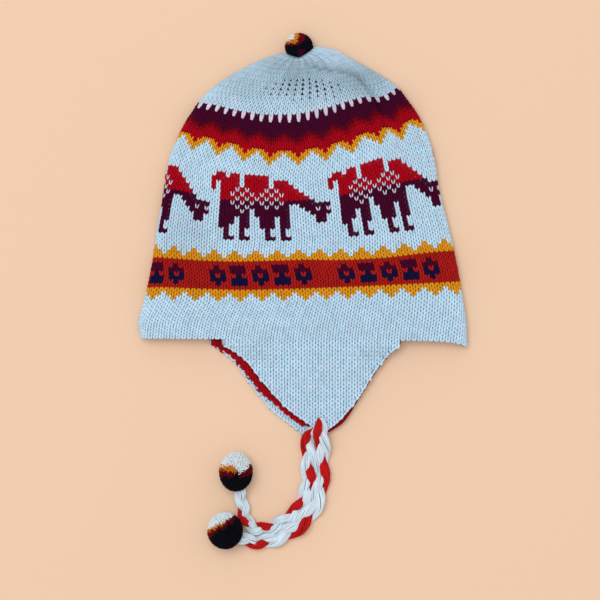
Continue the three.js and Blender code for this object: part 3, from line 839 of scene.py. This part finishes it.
# Above the scallops the red turns purple, in a hump over each
def beltTone(row, place):
    height = row - 50 + 0.55 * abs(place - 3)
    steps, names = zip(*beltRamp)
    return np.array([np.interp(height, steps, [dyed[name][k] for name in names]) for k in range(3)])


def triangle(wale, phase, reach):
    return "gold" if abs((math.floor(wale - phase) + 2) % 4 - 2) < reach else "white"


# The colour of a stitch, the colour behind it, how wide it lies and how long
def stitchAt(wale, row):
    p, yarn = pattern, "white"

    def turned(name):
        return math.floor(wale - p[name]) % p["repeat"]

    if p["lowerTriangles"] <= row < p["band"]:
        yarn = triangle(wale, p["lowerPhase"], row - p["lowerTriangles"] + 0.5)
    elif p["band"] <= row < p["upperTriangles"]:
        line, c = p["upperTriangles"] - 2 - row, turned("bandPhase")
        marked = 0 <= line < 5 and c < 19 and c % 4 < 3 and bandFigures[c // 4 % 2][line][c % 4] == "#"
        yarn = "bandRed" if not marked else "purple" if line < 2 else "navy"
    elif p["upperTriangles"] <= row < p["upperTriangles"] + 3:
        yarn = triangle(wale, p["upperPhase"], p["upperTriangles"] + 2.5 - row)
    elif p["llamas"] <= row < p["llamas"] + 16:
        line = p["llamas"] + 15 - row
        mark = llamaRows[line][turned("llamaPhase")]
        coat = "brightRed" if line < 6 else "purple"
        if mark == "o":
            return dyed["blush"], dyed[coat], 0.62, 0.84
        yarn = coat if mark == "L" else "white"
    elif p["scallops"] <= row < p["crown"]:
        c = turned("scallopPhase") % 6
        mark = scallopRows[row - p["scallops"]][c] if row < p["scallops"] + 4 else "R"
        if mark == "R":
            tone = beltTone(row, c)
            return tone, tone, 1, 1
        if mark == "t":
            return dyed["gold"], dyed["brightRed"], 0.9, 0.72
        yarn = "gold" if mark == "G" else "white"
    return dyed[yarn], dyed[yarn], 1, 1


# Stitches: two legs each, which meet in a V that points to the brim
stitch = {
    "spread": (0.15, 0.78),  # of half a wale, at the V's foot and its top
    "reach": (-0.38, 1.2),   # rows
    "width": 0.26,           # of a wale
    "thickness": 0.2,
    "sink": 0.55,            # mm below the surface at a leg's middle
    "dip": 0.6,              # and this much deeper at its ends
    "underSink": 0.55,       # more for the face that lies on the floor
    # less light between the crown's gathers and on its slopes: places, radii and shares
    "gloom": [(-6, 217, 22, 13, 0.3), (46, 212, 26, 15, 0.4), (-48, 208, 24, 14, 0.2), (-28, 224, 14, 8, 0.2),
              (-94, 88, 22, 30, 0.12), (0, 198, 60, 16, 0.08)],
    "crease": 0.34,          # and in the crown's fold
    # holes where the stitches are stretched, drawn as dark plugs of painted shadow: place and radii, rows,
    # wales between them, their size
    "holes": ((-0.5, 203.5), (31, 9.5), range(61, 67), 2.5, 1.0),
    "seed": 5,
}
stitchRandom = np.random.default_rng(stitch["seed"])


def gloomAt(places, normals):
    x, y = places[..., 0] / mm, places[..., 1] / mm
    left = np.ones(x.shape)
    for middleX, middleY, acrossX, acrossY, amount in stitch["gloom"]:
        away = ((x - middleX) / acrossX) ** 2 + ((y - middleY) / acrossY) ** 2
        left = left * (1 - amount * np.exp(-away))
    signed, place, _ = foldDistance(folds[0]["line"], x, y)
    fade = smoothStep(place, 0, 0.15) * (1 - smoothStep(place, 0.8, 1))
    left = left * (1 - stitch["crease"] * fade * np.exp(-((signed + 0.6) / 1.7) ** 2))
    return np.where(normals[..., 2] > 0, left, 1)


# cells: wale and row of each stitch, half its wales, rows, width, top spread, and colour.
# Lifted stitches lie inside the hat and face inwards.
def legs(face, cells, sides, rings, lift=0.0):
    t = np.linspace(0, 1, rings + 2)
    wale, row, halfWale, span, width, top = np.array([cell[:6] for cell in cells], dtype=float).T
    tones = np.array([cell[6] for cell in cells])
    foot = stitch["spread"][0] * np.minimum(top / stitch["spread"][1], 1)
    spread = foot[:, None] + (top - foot)[:, None] * t ** 0.9
    start, end = stitch["reach"]
    sag = np.sin(math.pi * (0.1 + 0.8 * t)) ** 0.8
    profile = np.clip(np.sin(math.pi * (0.06 + 0.88 * t)), 0, 1) ** 0.7
    profile[0] = profile[-1] = 0
    edges = [sample(face, wale + halfWale * side, row + 0.5)[0] for side in (-1, 1)]
    pitch = np.minimum(np.linalg.norm(edges[1] - edges[0], axis=1), 6 * mm)
    parts = []
    for side in (-1, 1):
        wobble = stitchRandom.normal(0, 0.03, (len(wale), 1))
        u = wale[:, None] + (side * spread + wobble) * halfWale[:, None]
        v = row[:, None] + start + (end - start) * t * span[:, None]
        places, normals = sample(face, u, v)
        under = 0 if lift else smoothStep(-normals[..., 2], 0.1, 0.8) * stitch["underSink"] * mm
        normals = normals * (-1 if lift else 1)
        height = (lift - stitch["sink"] - stitch["dip"] * (1 - sag)) * mm - under
        height = height + stitchRandom.normal(0, 0.05 * mm, (len(wale), 1))
        size = pitch * width * (1 + stitchRandom.normal(0, 0.04, len(wale)))
        half = np.stack([
            np.minimum(stitch[way] * size, most * mm)[:, None] * profile
            for way, most in (("width", 1.35), ("thickness", 0.85))
        ], axis=2)
        light = gloomAt(places[:, 2], normals[:, 2]) * stitchRandom.uniform(0.93, 1.06, len(wale))
        lines = places + normals * height[..., None]
        parts.append(tubes(lines, normals, half, sides, tones * light[:, None]))
    return parts


def hatStitches(rows, wales, sides, rings):
    cells = []
    top = stitch["spread"][1]
    for row in rows:
        step = 1 if row < pattern["prongs"] else 1.25
        for k in range(round((wales[1] - wales[0]) / step)):
            centre = wales[0] + (k + 0.5) * step
            if pattern["prongs"] <= row < pattern["crown"]:
                spike = (k + (wales[0] > 0)) % 2
                if spike and row == pattern["prongs"]:
                    span = stitchRandom.uniform(1.75, 2.15)
                    cells.append((centre, row, step / 2, span, 1.15, 0.62, dyed["blush"]))
                elif not spike:
                    width = (1.15, 0.9)[row - pattern["prongs"]]
                    cells.append((centre, row, step / 2, 1, width, top, dyed["purple"]))
                continue
            tone, _, width, span = stitchAt(centre, row)
            cells.append((centre, row, step / 2, span, width, top * min(1, width + 0.4), tone))
    return legs(patternFace, cells, sides, rings)


# Short dark plugs, level with the stitches: painted shadow in the holes where the stitches are stretched
def crownHoleShadows():
    middle, radii, rows, step, size = stitch["holes"]
    u, v = (a.ravel() for a in np.meshgrid(np.arange(step, hat["columns"], step), np.array(rows) + 0.8))
    places, normals = sample(patternFace, u, v)
    away = np.hypot((places[:, 0] / mm - middle[0]) / radii[0], (places[:, 1] / mm - middle[1]) / radii[1])
    near = (away < 1) & (normals[:, 2] > 0.2)
    places, normals, away = places[near], normals[near], away[near]
    heights = np.array([-1.0, -0.8, 0.06, 0.12]) * mm
    lines = places[:, None] + normals[:, None] * heights[:, None]
    wide = size * mm * (1.15 - 0.5 * away) * stitchRandom.uniform(0.8, 1.15, len(away))
    half = wide[:, None, None] * np.array([0, 1, 1, 0])[:, None] * np.array([1.0, 1.15])
    aside = np.tile(unit(np.cross(normals, [1.0, 0, 0]))[:, None], (1, 4, 1))
    return tubes(lines, aside, half, 8, np.tile(dyed["holeShadow"], (len(lines), 1)))


def flapStitches(upper, sides, rings, yarn, keep, lift=0.0):
    face, ends = flapFaces[upper]
    drop = 1 if upper else 1 - hat["backShift"][2] / hat["flapLength"]
    cells = []
    for row in range(-hat["flapRows"], 0):
        for wale in range(math.floor(ends[0]), math.ceil(ends[1])):
            place, _ = sample(face, np.array([wale + 0.5]), np.array([row + 0.5]))
            x, down = place[0, 0] / mm, -place[0, 1] / mm / drop
            left, right = flapEdges(upper, down)
            if keep(down, x - left, right - x):
                cells.append((wale + 0.5, row, 0.5, 1, 1, stitch["spread"][1], dyed[yarn]))
    return legs(face, cells, sides, rings, lift)


# Chains of plump stitches along a flap's edge, in mm: those with a lift lie inside the hat
chains = {
    "edge": {"yarn": "white", "pitch": 3.1, "length": 4.4, "half": (0.85, 0.75), "lift": 0},
    "hem": {"yarn": "white", "pitch": 3.1, "length": 4.4, "half": (0.9, 0.8), "lift": 3.1},
    "beads": {"yarn": "hemPink", "pitch": 5.6, "length": 2.2, "half": (0.7, 0.6), "lift": 5.7},
    "peeps": {"yarn": "liningRed", "pitch": 7.5, "length": 2.2, "half": (0.8, 0.8), "lift": 0},
}


def chain(kind, upper, atLeft, start, end, insetAt=lambda down: 0.9):
    yarn, pitch, length, half, lift = chains[kind].values()
    downs = np.linspace(start, end, 90)
    x = []
    for down in downs:
        left, right = flapEdges(upper, down)
        x.append(left + insetAt(down) if atLeft else right - insetAt(down))
    gone = travelled(np.column_stack([x, downs]))
    lines, normals = [], []
    for place in np.arange(pitch / 2, gone[-1], pitch):
        t = np.clip(place + np.linspace(-0.5, 0.5, 6) * length, 0, gone[-1])
        u, v = flapPlace(upper, np.interp(t, gone, x), np.interp(t, gone, downs))
        places, normal = sample(flapFaces[upper][0], u, v)
        normal = normal * (-1 if lift else 1)
        hump = np.sin(np.linspace(0.1, 0.9, 6) * math.pi)
        places = places + normal * ((lift - 0.9 + 0.5 * hump) * mm)[:, None]
        places[:, 0] += stitchRandom.normal(0, 0.12 * mm)
        lines.append(places)
        normals.append(normal)
    halves = np.array([0, 0.75, 1, 1, 0.7, 0])[:, None] * np.array(half) * mm
    tones = dyed[yarn] * stitchRandom.uniform(0.94, 1.06, (len(lines), 1))
    return tubes(np.array(lines), np.array(normals), np.tile(halves, (len(lines), 1, 1)), 6, tones)


# How far the outer knit is turned in round the lower flap
hem = {"down": (0, 12, 20, 28, 38, 44, 48, 58, 68.8), "width": (0.8, 1.4, 2, 2.8, 3.2, 5, 7, 7, 7.4)}


def hemWidth(down):
    return float(np.interp(down, hem["down"], hem["width"]))


def inHem(down, gap):
    return 0.6 < gap < hemWidth(down) + 0.6 and down > -2


front, back = (0, hat["columns"]), (hat["columns"], facePerimeter)
fine, coarse = (5, 4), (4, 3)                # a leg's sides and rings
addPiece("stitches_crown", [*hatStitches(range(44, 73), front, *fine), crownHoleShadows()])
addPiece("stitches_llamas", hatStitches(range(22, 44), front, *fine))
addPiece("stitches_brim", [
    *hatStitches(range(0, 22), front, *fine),
    *flapStitches(True, *fine, "white", lambda down, left, right: min(left, right) > 1.3 and down < 66.5),
    chain("edge", True, True, 0.5, 68),
    chain("edge", True, False, 0.5, 68),
])
addPiece("stitches_back_crown", hatStitches(range(36, 73), back, *coarse))
addPiece("stitches_back_brim", [
    *hatStitches(range(0, 36), back, *coarse),
    *flapStitches(False, *coarse, "white", lambda down, left, right: min(left, right) > 1 and down < 68),
])
addPiece("stitches_hem", [
    *flapStitches(False, *fine, "white", lambda down, left, right: inHem(down, left), chains["hem"]["lift"]),
    *flapStitches(False, *fine, "white", lambda down, left, right: inHem(down, right), chains["hem"]["lift"]),
    chain("hem", False, True, 0.5, 66),
    chain("beads", False, True, 1, 58, lambda down: hemWidth(down) + 0.5),
])
print("stitches made")

# Cloth behind the stitches: closed walls between two depths of the surface
cloth = {
    "depths": (1.15, 2.0),   # mm
    "liningDepths": (2.35, 3.95),
    "underSink": 0.35,       # mm
    "darkShade": 0.45,
    "shade": 0.68,           # of the stitches' colour, as little light reaches it
    "lowerFlapShade": 0.85,
    "liningFlapShade": 0.55,
    "liningRows": 67,
    "liningTip": (-4.4, 222.0, 9.5),
}


def wall(outer, inner, tones, closeTop=None):
    rows, columns, _ = outer.shape
    count = rows * columns
    index = np.arange(count).reshape(rows, columns)
    wrap = closeTop is not None
    right = np.roll(index, -1, axis=1) if wrap else index[:, 1:]
    left = index if wrap else index[:, :-1]
    sheet = np.stack([left[:-1], right[:-1], right[1:], left[1:]], axis=-1).reshape(-1, 4)
    if wrap:
        rim = np.append(index[0], index[0, 0])
    else:
        rim = np.concatenate([index[0], index[1:, -1], index[-1, ::-1][1:], index[::-1, 0][1:]])
    a, b = rim[:-1], rim[1:]
    edge = np.stack([b, a, a + count, b + count], axis=1)
    quads = np.concatenate([sheet, sheet[:, ::-1] + count, edge])
    triangles = np.zeros((0, 3), dtype=int)
    points = [outer.reshape(-1, 3), inner.reshape(-1, 3)]
    tones = tones.reshape(-1, 3)
    tones = [tones, tones]
    if wrap:
        last = index[-1]
        after = np.roll(last, -1)
        triangles = np.concatenate([
            np.stack([last, after, np.full(columns, 2 * count)], axis=1),
            np.stack([after + count, last + count, np.full(columns, 2 * count + 1)], axis=1),
        ])
        points.append(np.array(closeTop))
        tones.append(tones[0][[last[0], last[0]]])
    points = np.concatenate(points)
    return points, quads, triangles, np.concatenate(tones), np.zeros((len(points), 2))


# A wall's outer and inner points, the outer one further in where the hat lies on the floor
def wallSides(places, normals, depths):
    under = smoothStep(-normals[..., 2], 0.1, 0.8) * cloth["underSink"] * mm
    return places - normals * (depths[0] * mm + under)[..., None], places - normals * (depths[1] * mm)


def bodyWall(face, depths, rows, tip, toneAt):
    u, v = np.meshgrid(np.arange(facePerimeter, dtype=float), rows)
    places, normals = sample(face, u, v)
    tones = np.array([[toneAt(c, r) for c in range(facePerimeter)] for r in rows])
    tones = tones * gloomAt(places, normals)[..., None]
    closing = [(np.array(tip) - (0, depth, 0)) * mm for depth in depths]
    return wall(*wallSides(places, normals, depths), tones, closing)


# trimAt gives how much further down a flap wall's place is, and its two sides' insets
def flapWall(upper, depths, tone, trimAt):
    sides = []
    for down in [-6, *np.linspace(-3, hat["flapLength"], 25)]:
        reach, insetLeft, insetRight = trimAt(max(down, 0))
        edge = down * reach if down > 0 else down
        left, right = flapEdges(upper, edge)
        x = np.linspace(left + insetLeft, right - insetRight, 23)
        sides.append(wallSides(*sample(flapFaces[upper][0], *flapPlace(upper, x, edge)), depths))
    outer, inner = np.array(sides)[::-1].transpose(1, 0, 2, 3)
    if not upper:
        outer, inner = outer[:, ::-1], inner[:, ::-1]
    return wall(outer, inner, np.broadcast_to(tone, outer.shape))


def baseTone(wale, row):
    tone = stitchAt(wale + 0.01, min(int(row), 72))[1]
    return tone * (cloth["shade"] if tone is dyed["white"] else cloth["darkShade"])


def untrimmed(down):
    return 1, 0.6, 0.6


addPiece("knit_base", [
    bodyWall(patternFace, cloth["depths"], np.arange(0, 72.1, 1), hat["tip"], baseTone),
    flapWall(True, cloth["depths"], dyed["white"] * cloth["shade"], untrimmed),
    flapWall(False, cloth["depths"], dyed["white"] * cloth["lowerFlapShade"], untrimmed),
], material=baseWool)

# The lining shows past the upper flap's edge, and inside the lower flap's turned hem
peeks = {                    # mm past the upper flap's right edge, by the distance below the brim
    "down": (0, 6, 40, 48, 55, 60, 65, 68.8),
    "right": (0, 0.5, 0.6, 1.6, 3.2, 4.6, 4.8, 2.5),
}


def upperLiningTrim(down):
    part = down / hat["flapLength"]
    return (1 + 0.9 / hat["flapLength"], -0.4 * smoothStep(part, 0, 0.2),
            -np.interp(down, peeks["down"], peeks["right"]))


def lowerLiningTrim(down):
    return 1 - 6.4 / hat["flapLength"], hemWidth(down), hemWidth(down)


addPiece("lining_cloth", [
    bodyWall(hatFace, cloth["liningDepths"], np.arange(cloth["liningRows"] + 1), cloth["liningTip"],
             lambda wale, row: dyed["liningRed"]),
    flapWall(True, cloth["liningDepths"], dyed["liningRed"] * cloth["liningFlapShade"], upperLiningTrim),
    flapWall(False, cloth["liningDepths"], dyed["liningRed"], lowerLiningTrim),
], "lining", baseWool)
addPiece("lining_stitches", [
    *flapStitches(False, *coarse, "liningRed",
                  lambda down, left, right: min(left, right) > hemWidth(down) + 0.8 and down < 61,
                  cloth["liningDepths"][1] + 1.1),
    chain("peeps", True, False, 3, 42, lambda down: -0.15),
], "lining")
print("cloth made")


# Plain pale floor and soft light
def makeFloor():
    sheet = bmesh.new()
    bmesh.ops.create_grid(sheet, x_segments=1, y_segments=1, size=3)
    mesh = bpy.data.meshes.new("floor")
    sheet.to_mesh(mesh)
    sheet.free()
    material = bpy.data.materials.new("pale paper")
    material.use_nodes = True
    inputs = material.node_tree.nodes["Principled BSDF"].inputs
    inputs["Base Color"].default_value = (*toLinear(studio["floor"]), 1)
    inputs["Roughness"].default_value = 0.95
    inputs["Specular IOR Level"].default_value = 0.1
    mesh.materials.append(material)
    addObject("floor", mesh)


def makeLight():
    data = bpy.data.lights.new("key", "AREA")
    data.size, data.energy = studio["keySize"], studio["keyPower"]
    key = addObject("key", data)
    key.location = studio["keyPlace"]
    direction = Vector(studio["keyAim"]) - key.location
    key.rotation_euler = direction.to_track_quat("-Z", "Y").to_euler()
    world = bpy.data.worlds.new("sky")
    world.use_nodes = True
    inputs = world.node_tree.nodes["Background"].inputs
    inputs["Strength"].default_value = studio["skyStrength"]
    inputs["Color"].default_value = (1, 1, 1, 1)
    scene.world = world
    scene.view_settings.view_transform = "Standard"


makeFloor()
makeLight()
